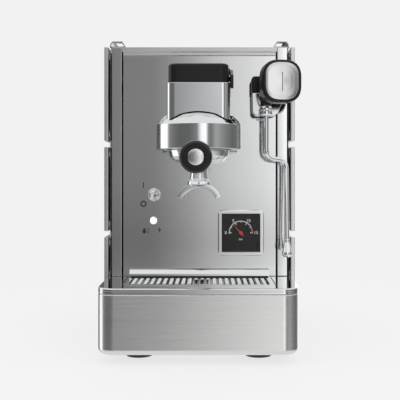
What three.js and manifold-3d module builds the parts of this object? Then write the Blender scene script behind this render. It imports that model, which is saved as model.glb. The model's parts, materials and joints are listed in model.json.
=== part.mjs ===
// Compact home espresso machine, in millimetres: +Z up, the front faces -Y, +X is the viewer's right.
// Inside the machine group Y = 0 is the front of the base and Y grows towards the back, Z = 0 is the
// surface it stands on. The outer group moves the middle of the whole footprint to the origin.

import * as THREE from 'three';
import { mergeVertices } from 'three/addons/utils/BufferGeometryUtils.js';
import Module from 'manifold-3d';

const wasm = await Module();
wasm.setup();

// ---- driving dimensions ----
const GAP = 0.3; // clearance between pieces that touch
const JOIN = 0.01; // how far solids that are joined into one piece run into each other, at the least
const CLEAR = 1; // how far a cutting shape runs past the face it cuts through
const BASE = { width: 238, depth: 380, bottom: 11.3, top: 82.7, corner: 20, wall: 3, floorRound: 7 };
const FOOT = { x: 73.5, front: 56, rear: 324, r: 17, height: 11, ease: 1.5 };
const CHASSIS = { half: 116, sheet: 2, shelfHalf: 112, shelfFront: 266, shelfBack: 374 };
const DECK_Z = 90; // top of the drip tray's deck, where the body starts
const PANEL = { face: 116, half: 100.4, sheet: 1.5, bottom: 90.3, top: 380 };
const BODY_TOP = 384.6; // top of the walls and the rear panel, under the cover
const PILLAR = { inner: 102.2, outer: 115.4, front: 115.4, depth: 16, sheet: 1.5 };
const BODY_BACK = 380;
const WALL = { inner: 116.4, outer: 118.8, bottom: 84, taper: 6 }; // the front edge is tapered
const PLATE = { inner: 119.6, outer: 125, front: 112, back: 380 };
const PLATE_SPANS = { lower: [84, 141.6], middle: [149.5, 260], upper: [267.9, 391] };
const TOP = { under: 385, z: 391, recess: 3, front: 113.8, skirt: 380.3 };
const CUP_TRAY = {
  half: 92.5, front: 124.5, back: 261.5,
  slots: 11, pitch: 11, slot: 3.6, slotHalf: 80, firstSlot: 134,
};
const TANK_HATCH = { half: 91, front: 268, back: 372 };
const RAIL = { foot: 391.3, height: 8.2, sheet: 1.4, front: 118, back: 376, hoop: 9, strip: 111 };
const TRAY = { openHalf: 93.5, openFront: 29, openBack: 110, rimZ: 83, ledge: 4, floorZ: 44, wall: 1.6 };
const GRID = {
  half: 92.6, front: 29.8, back: 109.4, sheet: 2, // the plate
  slots: 23, pitch: 7.7, slot: 3.7, frontBar: 5, backBar: 6,
  upstand: 9.6, fold: 2.6, lean: 2, lip: 1.5, lipInset: 1.2, // the raised rear edge
};
const NOTCH = { half: 14, depth: 1.3, reach: 9 }; // finger scoop in the tray's front edge
const GROUP = { y: 58, half: 38, front: 18, back: 112, corner: 10, top: 333, capTop: 356, capHalf: 36.2 };
const BELL = { r: 52.5, bore: 42, bottom: 254, shoulder: 284, ceiling: 272, top: 301 };
const BOWL = { r: 37.6, rim: 36, bottom: 239.5, top: 261.6, wall: 3, lug: 40.8 };
const HANDLE = { tipY: -150, z: 248, drop: 2.5, endR: 16.4, rimR: 13.6, discR: 8.7, seat: 3, neck: 26 };
const SPOUT = { outer: 30, inner: 23.5, centreZ: 183.5, width: 15, halfSweep: 65 };
const TOGGLE = { x: -59.5, z: 197.3, nutR: 8.6, threadR: 6, boreR: 3.4, restTilt: 12 };
const LAMP = { x: -60.5, z: 163.3, r: 4.2 };
const GAUGE = { x: 54.4, z: 147.2, outer: 60.5, inner: 51, corner: 6.5, proud: 4, canR: 21.5, restTurn: -42 };
const KNOB = {
  x: 101, y: 30, z: 336.2, lean: 7,
  width: 48.5, height: 52.2, depth: 30,
  faceW: 40.7, faceH: 45.1, seat: 2.6,
};
const VALVE = { x: 84, z: 318, throatR: 9.6, clampR: 13, front: 84, back: 104, stemR: 4 };
const GROUP_NECK = { half: 22, bottom: 299, top: 326, back: 134 }; // from the group through the front panel
const BALL = { x: 84.5, y: 74, z: 303, r: 5.4, nutR: 8 };
const WAND = { r: 3.3, tipLength: 22 };
const TANK = { half: 88, front: 272, back: 368, bottom: 150, top: 383.5, wall: 2.5 };
const BOILER = { x: -25, y: 182, r: 43, bottom: 196, top: 312, wall: 2 };
const PUMP = { x: 62, z: 114, r: 21, front: 170, back: 226 };
const HOSE = { y: 320, r: 4 }; // suction hose: straight back out of the pump, then up into the tank
const INLET = {
  x: 75, z: 118, width: 42, height: 40,
  bodyHalf: 16, bodyDepth: 26, socketHalf: 12, socketRise: 10,
};
const BACK_EXTRA = 6; // how far the mains inlet stands out behind the body
const VENTS = { count: 7, half: 60, first: 280, pitch: 12, height: 4 };

// ---- solids ----
const UP = new THREE.Vector3(0, 0, 1);

/** A manifold solid from a closed three.js geometry. */
function solid(geometry) {
  const bare = geometry.clone();
  bare.deleteAttribute('normal');
  bare.deleteAttribute('uv');
  const merged = mergeVertices(bare, 1e-4);
  const mesh = new wasm.Mesh({
    numProp: 3,
    vertProperties: new Float32Array(merged.attributes.position.array),
    triVerts: new Uint32Array(merged.index.array),
  });
  mesh.merge();
  return new wasm.Manifold(mesh);
}

/** A three.js geometry from a manifold solid. */
function geometryOf(body) {
  const mesh = body.getMesh();
  const geometry = new THREE.BufferGeometry();
  geometry.setAttribute('position', new THREE.BufferAttribute(new Float32Array(mesh.vertProperties), 3));
  geometry.setIndex(new THREE.BufferAttribute(new Uint32Array(mesh.triVerts), 1));
  return geometry;
}

function cut(geometry, ...tools) {
  return geometryOf(tools.reduce((body, tool) => body.subtract(solid(tool)), solid(geometry)));
}

function join(geometry, ...others) {
  return geometryOf(others.reduce((body, other) => body.add(solid(other)), solid(geometry)));
}

/** A box given by its lowest and highest corners. */
function box(x0, x1, y0, y1, z0, z1) {
  const geometry = new THREE.BoxGeometry(x1 - x0, y1 - y0, z1 - z0);
  return geometry.translate((x0 + x1) / 2, (y0 + y1) / 2, (z0 + z1) / 2);
}

/** A rectangle with corner radii [left low, right low, right high, left high]. */
function roundedRect(x0, x1, y0, y1, radii) {
  const [a, b, c, d] = Array.isArray(radii) ? radii : [radii, radii, radii, radii];
  const shape = new THREE.Shape();
  shape.moveTo(x0 + a, y0);
  shape.lineTo(x1 - b, y0);
  if (b) shape.absarc(x1 - b, y0 + b, b, -Math.PI / 2, 0);
  shape.lineTo(x1, y1 - c);
  if (c) shape.absarc(x1 - c, y1 - c, c, 0, Math.PI / 2);
  shape.lineTo(x0 + d, y1);
  if (d) shape.absarc(x0 + d, y1 - d, d, Math.PI / 2, Math.PI);
  shape.lineTo(x0, y0 + a);
  if (a) shape.absarc(x0 + a, y0 + a, a, Math.PI, 1.5 * Math.PI);
  return shape;
}

/** An outline in plan, raised from z0 to z1. */
function raised(shape, z0, z1, curveSegments = 2) {
  const geometry = new THREE.ExtrudeGeometry(shape, { depth: z1 - z0, bevelEnabled: false, curveSegments });
  return geometry.translate(0, 0, z0);
}

/** An outline seen from the front (x, z), running back from y0 to y1. */
function fronted(shape, y0, y1, curveSegments = 2) {
  const geometry = new THREE.ExtrudeGeometry(shape, { depth: y1 - y0, bevelEnabled: false, curveSegments });
  return geometry.rotateX(Math.PI / 2).translate(0, y1, 0);
}

/** An outline seen from the side (y, z), running from x0 to x1. */
function sided(shape, x0, x1, curveSegments = 2) {
  const geometry = new THREE.ExtrudeGeometry(shape, { depth: x1 - x0, bevelEnabled: false, curveSegments });
  const turn = new THREE.Matrix4().makeBasis(new THREE.Vector3(0, 1, 0), UP, new THREE.Vector3(1, 0, 0));
  return geometry.applyMatrix4(turn).translate(x0, 0, 0);
}

/** A profile of [radius, height] pairs turned about the vertical line through (x, y). */
function turned(profile, x, y, segments = 32) {
  const points = profile.map(([r, h]) => new THREE.Vector2(r, h));
  return new THREE.LatheGeometry(points, segments).rotateX(Math.PI / 2).translate(x, y, 0);
}

/** A profile of [radius, reach] pairs turned about a line that runs towards the front from (x, y, z). */
function turnedForward(profile, x, y, z, segments = 24) {
  const points = profile.map(([r, h]) => new THREE.Vector2(r, h));
  return new THREE.LatheGeometry(points, segments).rotateZ(Math.PI).translate(x, y, z);
}

/** An upright round bar. */
function bar(r, x, y, z0, z1, segments = 16) {
  return turned([[0, z0], [r, z0], [r, z1], [0, z1]], x, y, segments);
}

/** A round bar that runs from front to back. */
function rod(r, x, z, y0, y1, segments = 16) {
  return turnedForward([[0, -y1], [r, -y1], [r, -y0], [0, -y0]], x, 0, z, segments);
}

/** A tube or pipe along a path of points with rounded corners. */
function pipe(points, r, bend, steps, sides = 8) {
  const path = new THREE.CurvePath();
  let from = points[0];
  for (let i = 1; i < points.length - 1; i += 1) {
    const corner = points[i];
    const into = corner.clone().add(from.clone().sub(corner).setLength(bend));
    const out = corner.clone().add(points[i + 1].clone().sub(corner).setLength(bend));
    path.add(new THREE.LineCurve3(from, into));
    path.add(new THREE.QuadraticBezierCurve3(into, corner, out));
    from = out;
  }
  path.add(new THREE.LineCurve3(from, points[points.length - 1]));
  const section = new THREE.Shape();
  section.absarc(0, 0, r, 0, 2 * Math.PI);
  const settings = { steps, extrudePath: path, bevelEnabled: false, curveSegments: sides / 2 };
  return new THREE.ExtrudeGeometry(section, settings);
}

const at = (x, y, z) => new THREE.Vector3(x, y, z);

// ---- finishes ----
const FINISHES = {
  polishedSteel: [0xb9bbbd, 0.08, 1],
  brushedSteel: [0xa9abad, 0.35, 1],
  sheetSteel: [0x9fa2a4, 0.4, 1],
  chrome: [0xd4d6d8, 0.06, 1],
  brass: [0xb08d4a, 0.3, 1],
  copper: [0xb46a45, 0.3, 1],
  blackPlastic: [0x121213, 0.4, 0],
  dialBlack: [0x0b0b0c, 0.55, 0],
  rubber: [0x161616, 0.85, 0],
  greyPlastic: [0x6d7073, 0.5, 0],
  clearPlastic: [0xcfd9dd, 0.15, 0],
  glass: [0xe6eef0, 0.02, 0],
  lampLens: [0xffe2b8, 0.2, 0],
  needleRed: [0xc23a2c, 0.5, 0],
};

function piece(name, geometry, finish) {
  const [color, roughness, metalness] = FINISHES[finish];
  const mesh = new THREE.Mesh(geometry, new THREE.MeshStandardMaterial({ color, roughness, metalness }));
  mesh.name = name;
  return mesh;
}

// ---- base and drip tray ----
function basePieces() {
  const half = BASE.width / 2;
  const { corner, depth, wall, bottom, floorRound } = BASE;
  const level = (inset, z0, z1) => {
    const radii = [corner, corner, corner / 2, corner / 2].map((r) => r - inset);
    return raised(roundedRect(-half + inset, half - inset, inset, depth - inset, radii), z0, z1);
  };
  // the lower edge is rounded in two steps
  const outer = join(
    level(0, bottom + floorRound, BASE.top),
    level(floorRound * 0.15, bottom + floorRound / 2, bottom + floorRound + JOIN),
    level(floorRound * 0.6, bottom, bottom + floorRound / 2 + JOIN),
  );
  const hollow = level(wall, bottom + wall + floorRound / 2, BASE.top + CLEAR);
  const feet = ['left', 'right'].flatMap((word, i) => (
    [['front', FOOT.front], ['rear', FOOT.rear]].map(([end, y]) => {
      const { r, height, ease } = FOOT;
      const profile = [[0, 0], [r - ease, 0], [r, ease], [r, height], [0, height]];
      return piece(`${end}_${word}_foot`, turned(profile, (2 * i - 1) * FOOT.x, y, 24), 'rubber');
    })
  ));
  return [piece('base_housing', cut(outer, hollow), 'brushedSteel'), ...feet];
}

/** The welded chassis: the body's floor pan and the shelf that carries the water tank. */
function chassisPiece() {
  const { half, sheet, shelfHalf, shelfFront, shelfBack } = CHASSIS;
  const floor = cut(
    box(-half, half, PANEL.face, BODY_BACK, BASE.top + GAP, DECK_Z),
    box(-half + sheet, half - sheet, PANEL.face + sheet, BODY_BACK - sheet, BASE.top, DECK_Z - sheet),
  );
  const shelfTop = TANK.bottom - GAP;
  const shelf = box(-shelfHalf, shelfHalf, shelfFront, shelfBack, shelfTop - sheet, shelfTop);
  const legs = [DECK_Z - CLEAR, shelfTop - CLEAR];
  const frontLeg = box(-shelfHalf, shelfHalf, shelfFront, shelfFront + sheet, ...legs);
  const backLeg = box(-shelfHalf, 50, shelfBack - sheet, shelfBack, ...legs);
  const hoseHoles = [
    rod(HOSE.r + 2, PUMP.x, PUMP.z, shelfFront - 6, shelfFront + 9),
    bar(HOSE.r + 3, PUMP.x, HOSE.y, shelfTop - 6, shelfTop + 6),
  ];
  return piece('chassis', cut(join(floor, shelf, frontLeg, backLeg), ...hoseHoles), 'sheetSteel');
}

function trayPieces() {
  const half = BASE.width / 2;
  const outline = roundedRect(-half, half, 0, PILLAR.front - GAP, [BASE.corner, BASE.corner, 0, 0]);
  const rim = raised(outline, TRAY.rimZ, DECK_Z);
  const { openHalf, openFront, openBack, ledge, wall, floorZ } = TRAY;
  const basin = box(-openHalf + ledge - wall, openHalf - ledge + wall, openFront + ledge - wall,
    openBack - ledge + wall, floorZ, TRAY.rimZ + 1);
  const well = box(-openHalf + ledge, openHalf - ledge, openFront + ledge, openBack - ledge,
    floorZ + wall, DECK_Z + 1);
  const seat = box(-openHalf, openHalf, openFront, openBack, DECK_Z - GRID.sheet - GAP, DECK_Z + 1);
  const scoop = new THREE.Shape();
  scoop.moveTo(-NOTCH.half, DECK_Z + CLEAR);
  scoop.lineTo(-NOTCH.half, DECK_Z);
  scoop.quadraticCurveTo(0, DECK_Z - 2 * NOTCH.depth, NOTCH.half, DECK_Z);
  scoop.lineTo(NOTCH.half, DECK_Z + CLEAR);
  const notch = fronted(scoop, -CLEAR, NOTCH.reach, 8);
  const tray = cut(join(rim, basin), well, seat, notch);

  const plate = box(-GRID.half, GRID.half, GRID.front, GRID.back, DECK_Z - GRID.sheet, DECK_Z);
  const lip = new THREE.Shape();
  lip.moveTo(GRID.back - GRID.lip, DECK_Z - GRID.sheet / 2);
  lip.lineTo(GRID.back, DECK_Z - GRID.sheet / 2);
  lip.lineTo(GRID.back, DECK_Z + GRID.fold);
  lip.lineTo(GRID.back + GRID.lean, DECK_Z + GRID.upstand);
  lip.lineTo(GRID.back + GRID.lean - GRID.lip, DECK_Z + GRID.upstand);
  lip.lineTo(GRID.back - GRID.lip, DECK_Z + GRID.fold);
  const upstand = sided(lip, -GRID.half + GRID.lipInset, GRID.half - GRID.lipInset);
  const slots = Array.from({ length: GRID.slots }, (_, i) => {
    const x = (i - (GRID.slots - 1) / 2) * GRID.pitch;
    const end = GRID.slot / 2 - 0.1;
    const y0 = GRID.front + GRID.frontBar;
    const outline = roundedRect(x - GRID.slot / 2, x + GRID.slot / 2, y0, GRID.back - GRID.backBar, end);
    return raised(outline, DECK_Z - GRID.sheet - CLEAR, DECK_Z + CLEAR, 1);
  });
  return [
    piece('drip_tray', tray, 'polishedSteel'),
    piece('drip_grid', cut(join(plate, upstand), ...slots), 'polishedSteel'),
  ];
}

// ---- body shell ----
function pillarPiece(name, side) {
  const [x0, x1] = [side * PILLAR.inner, side * PILLAR.outer].sort((a, b) => a - b);
  const back = PILLAR.front + PILLAR.depth;
  const { front, sheet } = PILLAR;
  const column = cut(
    box(x0, x1, front, back, PANEL.bottom, TOP.z),
    box(x0 + sheet, x1 - sheet, front + sheet, back + CLEAR, PANEL.bottom - CLEAR, TOP.z - sheet),
  );
  return piece(name, column, 'polishedSteel');
}

function panelPiece() {
  const { face, half, sheet, bottom, top } = PANEL;
  const sheetBody = box(-half, half, face, face + sheet, bottom, top);
  const behind = face + sheet + CLEAR;
  const neck = GROUP_NECK.half;
  const holes = [
    rod(TOGGLE.threadR + GAP, TOGGLE.x, TOGGLE.z, face - CLEAR, behind),
    rod(LAMP.r - 0.6, LAMP.x, LAMP.z, face - CLEAR, behind),
    rod(GAUGE.canR + GAP, GAUGE.x, GAUGE.z, face - CLEAR, behind, 24),
    box(-neck - 2, neck + 2, face - CLEAR, behind, GROUP_NECK.bottom - 3, GROUP_NECK.top + 2),
    rod(VALVE.throatR + 0.4, VALVE.x, VALVE.z, face - CLEAR, behind),
  ];
  return piece('front_panel', cut(sheetBody, ...holes), 'polishedSteel');
}

function platePieces(word, side) {
  return Object.entries(PLATE_SPANS).map(([level, [z0, z1]]) => {
    const [x0, x1] = [side * PLATE.inner, side * PLATE.outer].sort((a, b) => a - b);
    const plate = box(x0, x1, PLATE.front, PLATE.back, z0, z1);
    return piece(`${word}_${level}_side_plate`, plate, 'brushedSteel');
  });
}

function wallPiece(word, side) {
  const plan = [[WALL.inner, PANEL.face], [WALL.outer, PANEL.face + WALL.taper], [WALL.outer, BODY_BACK],
    [WALL.inner, BODY_BACK]];
  const wall = raised(sideOutline(plan, side, new THREE.Shape()), WALL.bottom, BODY_TOP);
  return piece(`${word}_side_wall`, wall, 'polishedSteel');
}

/** A closed outline through points (across, other) on the right side, or mirrored onto the left. */
function sideOutline(points, side, shape) {
  const placed = points.map(([x, other]) => new THREE.Vector2(side * x, other));
  return shape.setFromPoints(side < 0 ? placed.reverse() : placed);
}

/** A cup rail: a folded hoop at each end of one side, joined by its outer wall and a strip on top. */
function railPiece(word, side) {
  const { foot, height, sheet, front, back } = RAIL;
  const top = foot + height;
  const outline = [[118.4, foot], [117.6, foot + 4.5], [115, top], [102, top], [96.8, foot]];
  const inner = [[116.6, foot + sheet], [116.1, foot + 4.2], [114.2, top - sheet], [102.7, top - sheet],
    [99.4, foot + sheet]];
  const shape = sideOutline(outline, side, new THREE.Shape());
  shape.holes.push(sideOutline(inner, side, new THREE.Path()));
  const [x0, x1] = [side * (outline[4][0] - CLEAR), side * RAIL.strip].sort((a, b) => a - b);
  const between = box(x0, x1, front + RAIL.hoop, back - RAIL.hoop, foot - CLEAR, top + CLEAR);
  return piece(`${word}_cup_rail`, cut(fronted(shape, front, back), between), 'polishedSteel');
}

function topPieces() {
  const pillarBack = PILLAR.front + PILLAR.depth + GAP;
  const slab = join(
    box(-WALL.outer, WALL.outer, pillarBack, BODY_BACK, TOP.under, TOP.z),
    box(-PILLAR.inner + GAP, PILLAR.inner - GAP, TOP.front, pillarBack + JOIN, TOP.under, TOP.z),
    box(-PANEL.half, PANEL.half, PILLAR.front, PANEL.face + PANEL.sheet, TOP.skirt, TOP.under + JOIN),
  );
  const seatZ = TOP.z - TOP.recess;
  const { half, front, back } = CUP_TRAY;
  const trayRecess = box(-half - 0.5, half + 0.5, front - 0.5, back + 0.5, seatZ, TOP.z + CLEAR);
  const hatch = TANK_HATCH;
  const tankHole = box(-hatch.half, hatch.half, hatch.front, hatch.back, TOP.under - CLEAR, TOP.z + CLEAR);
  const underside = box(-half + 2.5, half - 2.5, front + 3.5, back - 3.5, TOP.under - CLEAR, seatZ - 1.2);
  const cover = cut(slab, trayRecess, underside, tankHole);

  const trayPlate = box(-half, half, front, back, seatZ + GAP, TOP.z);
  const slots = Array.from({ length: CUP_TRAY.slots }, (_, i) => {
    const y = CUP_TRAY.firstSlot + i * CUP_TRAY.pitch;
    return box(-CUP_TRAY.slotHalf, CUP_TRAY.slotHalf, y, y + CUP_TRAY.slot, seatZ - CLEAR, TOP.z + CLEAR);
  });
  const rearHalf = PILLAR.outer - 0.4;
  const rear = box(-rearHalf, rearHalf, BODY_BACK - 2.6, BODY_BACK - 0.6, PANEL.bottom, BODY_TOP);
  const through = [BODY_BACK - 4, BODY_BACK + CLEAR];
  const vents = Array.from({ length: VENTS.count }, (_, i) => {
    const z = VENTS.first + i * VENTS.pitch;
    return box(-VENTS.half, VENTS.half, ...through, z, z + VENTS.height);
  });
  const inletHalf = INLET.bodyHalf + 0.5;
  const inletHole = box(INLET.x - inletHalf, INLET.x + inletHalf, ...through, INLET.z - 14.5, INLET.z + 14.5);
  return [
    piece('top_cover', cover, 'brushedSteel'),
    piece('cup_tray', cut(trayPlate, ...slots), 'polishedSteel'),
    piece('rear_panel', cut(rear, ...vents, inletHole), 'sheetSteel'),
  ];
}

// ---- brewing group ----
function groupPieces() {
  const { y, half, front, back, corner, top, capTop, capHalf } = GROUP;
  const dome = [[0, BELL.ceiling], [BELL.bore, BELL.ceiling], [BELL.bore, BELL.bottom], [BELL.r, BELL.bottom],
    [BELL.r, BELL.shoulder], [49, 290], [44, 295], [38, 298.5], [28, BELL.top], [0, BELL.top]];
  const bell = turned(dome, 0, y, 32);

  const outline = roundedRect(-half, half, front, back, [corner, corner, 3, 3]);
  const clearDome = [[0, 270], [BELL.r + GAP, 270], [BELL.r + GAP, BELL.shoulder + GAP], [49.4, 290.3],
    [44.2, 295.4], [38.2, 299], [28, BELL.top + GAP + 0.1], [0, BELL.top + GAP + 0.1]];
  const { bottom: neckBottom, top: neckTop, back: neckBack, half: neckHalf } = GROUP_NECK;
  const neck = box(-neckHalf, neckHalf, back - 4, neckBack, neckBottom, neckTop);
  const block = cut(join(raised(outline, 284, top), neck), turned(clearDome, 0, y, 32));

  const capOutline = roundedRect(-capHalf, capHalf, front + 1.5, back - 2, [corner, corner, 3, 3]);
  const cap = raised(capOutline, top + GAP, capTop);

  const leverSide = new THREE.Shape();
  leverSide.moveTo(27, 343);
  leverSide.lineTo(24, 336);
  leverSide.lineTo(27, 326.5);
  leverSide.lineTo(31, 327);
  leverSide.lineTo(33, 334);
  leverSide.lineTo(58, 335);
  leverSide.absarc(60, 342, 11.5, -1.9, 1.7);
  const lever = join(sided(leverSide, half + 0.6, half + 4), (() => {
    const pin = new THREE.CylinderGeometry(3, 3, 3.2, 12).rotateZ(Math.PI / 2);
    return pin.translate(half + 0.2, 60, 342);
  })());

  const gasket = turned([[29.2, 263.4], [36.4, 263.4], [36.4, BELL.ceiling - GAP], [29.2, BELL.ceiling - GAP],
    [29.2, 263.4]], 0, y, 32);
  const screen = turned([[0, 263.2], [22, 263.4], [28, 265], [28.8, 266.4], [28.8, BELL.ceiling - GAP],
    [0, BELL.ceiling - GAP]], 0, y, 32);
  return [
    piece('group_bell', bell, 'chrome'),
    piece('group_block', block, 'chrome'),
    piece('group_cap', cap, 'blackPlastic'),
    piece('brew_lever', lever, 'blackPlastic'),
    piece('group_gasket', gasket, 'rubber'),
    piece('shower_screen', screen, 'brushedSteel'),
  ];
}

function portafilterPieces() {
  const { y } = GROUP;
  const { r, rim, bottom, top, wall, lug } = BOWL;
  const profile = [[4, bottom], [24, bottom], [32, bottom + 2], [36, bottom + 6], [r, bottom + 12], [rim, top - 6],
    [rim, top], [rim - wall, top], [rim - wall, bottom + 9], [28, bottom + 4], [4, bottom + 3.5], [4, bottom]];
  const bowl = turned(profile, 0, y, 32);
  const lugs = [0, Math.PI].map((turn) => {
    const ear = new THREE.Shape();
    ear.absarc(0, 0, lug, turn - 0.3, turn + 0.3);
    ear.absarc(0, 0, rim - 1.5, turn + 0.3, turn - 0.3, true);
    return raised(ear, top - 5, top - 1, 2).translate(0, y, 0);
  });
  const drop = THREE.MathUtils.degToRad(HANDLE.drop);
  const lean = (geometry) => geometry.rotateX(drop).translate(0, y, HANDLE.z);
  const neckEnd = BOWL.r + HANDLE.neck;
  const underBell = BELL.r + 1.5;
  const neck = lean(turnedForward([[0, rim - 1.5], [7, rim - 1.5], [7, underBell], [9.5, underBell + 1.5],
    [11.5, neckEnd - 4], [11.5, neckEnd], [0, neckEnd]], 0, 0, 0));
  const reach = (y - HANDLE.tipY - HANDLE.rimR * Math.sin(drop)) / Math.cos(drop);
  const grip = [[0, neckEnd + GAP], [12, neckEnd + GAP], [12.6, neckEnd + 16], [11.8, neckEnd + 45],
    [13.4, reach - 45], [15.8, reach - 16], [HANDLE.endR, reach - 7], [15.4, reach - 1.6], [HANDLE.rimR, reach],
    [HANDLE.discR + GAP, reach], [HANDLE.discR + GAP, reach - HANDLE.seat], [0, reach - HANDLE.seat]];
  const discBack = reach - HANDLE.seat + GAP;
  const disc = [[0, discBack], [HANDLE.discR, discBack], [HANDLE.discR, reach - 0.8],
    [6, reach - 0.1], [0, reach + 0.2]];

  const { outer, inner, centreZ, width, halfSweep } = SPOUT;
  const from = THREE.MathUtils.degToRad(90 - halfSweep);
  const to = THREE.MathUtils.degToRad(90 + halfSweep);
  const arch = new THREE.Shape();
  arch.absarc(0, centreZ, outer, from, to);
  arch.absarc(0, centreZ, inner, to, from, true);
  const arms = fronted(arch, y - width / 2, y + width / 2, 6);
  const column = turned([[0, centreZ + 25], [10, centreZ + 25], [11.6, centreZ + 33], [10.4, centreZ + 42],
    [11, bottom - GAP], [0, bottom - GAP]], 0, y, 24);

  const basket = turned([[0, 245.5], [28, 245.5], [30.5, 247], [31.6, 252], [32, top + GAP], [35.6, top + GAP],
    [35.6, top + 1.3], [31, top + 1.3], [30.8, 252], [29.8, 247.8], [27.6, 246.5], [0, 246.5]], 0, y, 32);
  return [
    piece('portafilter_body', join(bowl, neck, ...lugs), 'chrome'),
    piece('filter_basket', basket, 'brushedSteel'),
    piece('portafilter_spout', join(arms, column), 'chrome'),
    piece('portafilter_handle', lean(turnedForward(grip, 0, 0, 0, 28)), 'blackPlastic'),
    piece('handle_end_disc', lean(turnedForward(disc, 0, 0, 0, 24)), 'brushedSteel'),
  ];
}

// ---- controls on the front panel ----
function controlPieces() {
  const face = PANEL.face - GAP;
  const { threadR, boreR, nutR } = TOGGLE;
  const bodyFront = PANEL.face + PANEL.sheet + GAP;
  const switchBody = join(
    turnedForward([[boreR, -3], [threadR, -3], [threadR, GAP], [nutR, GAP], [nutR, 2.4], [nutR - 1, 3.2],
      [threadR - 0.6, 3.2], [threadR - 0.6, 5.2], [boreR, 5.2], [boreR, -3]], TOGGLE.x, PANEL.face, TOGGLE.z),
    cut(box(TOGGLE.x - 8, TOGGLE.x + 8, bodyFront, bodyFront + 20.7, TOGGLE.z - 12, TOGGLE.z + 12),
      rod(boreR, TOGGLE.x, TOGGLE.z, bodyFront - CLEAR, bodyFront + 6.2)),
  );
  const bat = turnedForward([[0, -4], [1.7, -3], [1.7, 5], [2.7, 15], [2.4, 17], [1.2, 18], [0, 18.2]], 0, 0, 0, 16);
  bat.rotateX(THREE.MathUtils.degToRad(-TOGGLE.restTilt)).translate(TOGGLE.x, PANEL.face, TOGGLE.z);
  const lamp = turnedForward([[0, -12], [LAMP.r - 1, -12], [LAMP.r - 1, GAP], [LAMP.r, GAP], [LAMP.r, 1.4],
    [LAMP.r - 1.4, 2.4], [0, 2.8]], LAMP.x, PANEL.face, LAMP.z, 20);

  const { x, z, outer, inner, corner, proud, canR } = GAUGE;
  const frame = roundedRect(x - outer / 2, x + outer / 2, z - outer / 2, z + outer / 2, corner);
  frame.holes.push(roundedRect(x - inner / 2, x + inner / 2, z - inner / 2, z + inner / 2, 0));
  const bezel = fronted(frame, PANEL.face - proud, face);
  const dialHalf = inner / 2 - GAP;
  const dial = join(
    box(x - dialHalf, x + dialHalf, PANEL.face - 1.4, face, z - dialHalf, z + dialHalf),
    rod(canR, x, z, PANEL.face - 1, PANEL.face + 30, 24),
  );
  const glass = box(x - dialHalf, x + dialHalf, PANEL.face - 3.8, PANEL.face - 2.9, z - dialHalf, z + dialHalf);
  const pointer = new THREE.Shape();
  pointer.moveTo(-0.9, -5);
  pointer.lineTo(0.9, -5);
  pointer.lineTo(0.35, 15);
  pointer.lineTo(-0.35, 15);
  const hub = turnedForward([[0, 0], [2.4, 0], [2.4, 0.7], [0, 0.7]], 0, 0.35, 0, 16);
  const needle = join(fronted(pointer, -0.25, 0.25), hub);
  needle.rotateY(THREE.MathUtils.degToRad(GAUGE.restTurn)).translate(x, PANEL.face - 2.15, z);
  return [
    piece('toggle_switch', switchBody, 'chrome'),
    piece('toggle_bat', bat, 'chrome'),
    piece('indicator_lamp', lamp, 'lampLens'),
    piece('gauge_bezel', bezel, 'chrome'),
    piece('gauge_body', dial, 'dialBlack'),
    piece('gauge_glass', glass, 'glass'),
    piece('gauge_needle', needle, 'needleRed'),
  ];
}

// ---- steam valve, knob and wand ----
/** A rounded-square outline, between a square and a circle. */
function squircle(width, height, power = 4.2, count = 28) {
  const shape = new THREE.Shape();
  for (let i = 0; i < count; i += 1) {
    const angle = (2 * Math.PI * i) / count;
    const c = Math.cos(angle);
    const s = Math.sin(angle);
    const x = (width / 2) * Math.sign(c) * Math.abs(c) ** (2 / power);
    const z = (height / 2) * Math.sign(s) * Math.abs(s) ** (2 / power);
    if (i) shape.lineTo(x, z);
    else shape.moveTo(x, z);
  }
  return shape;
}

/** Moves a knob piece, modelled with its face at the origin looking along -Y, to its leaning place. */
function ontoKnob(geometry) {
  return geometry.rotateZ(THREE.MathUtils.degToRad(KNOB.lean)).translate(KNOB.x, KNOB.y, KNOB.z);
}

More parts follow.
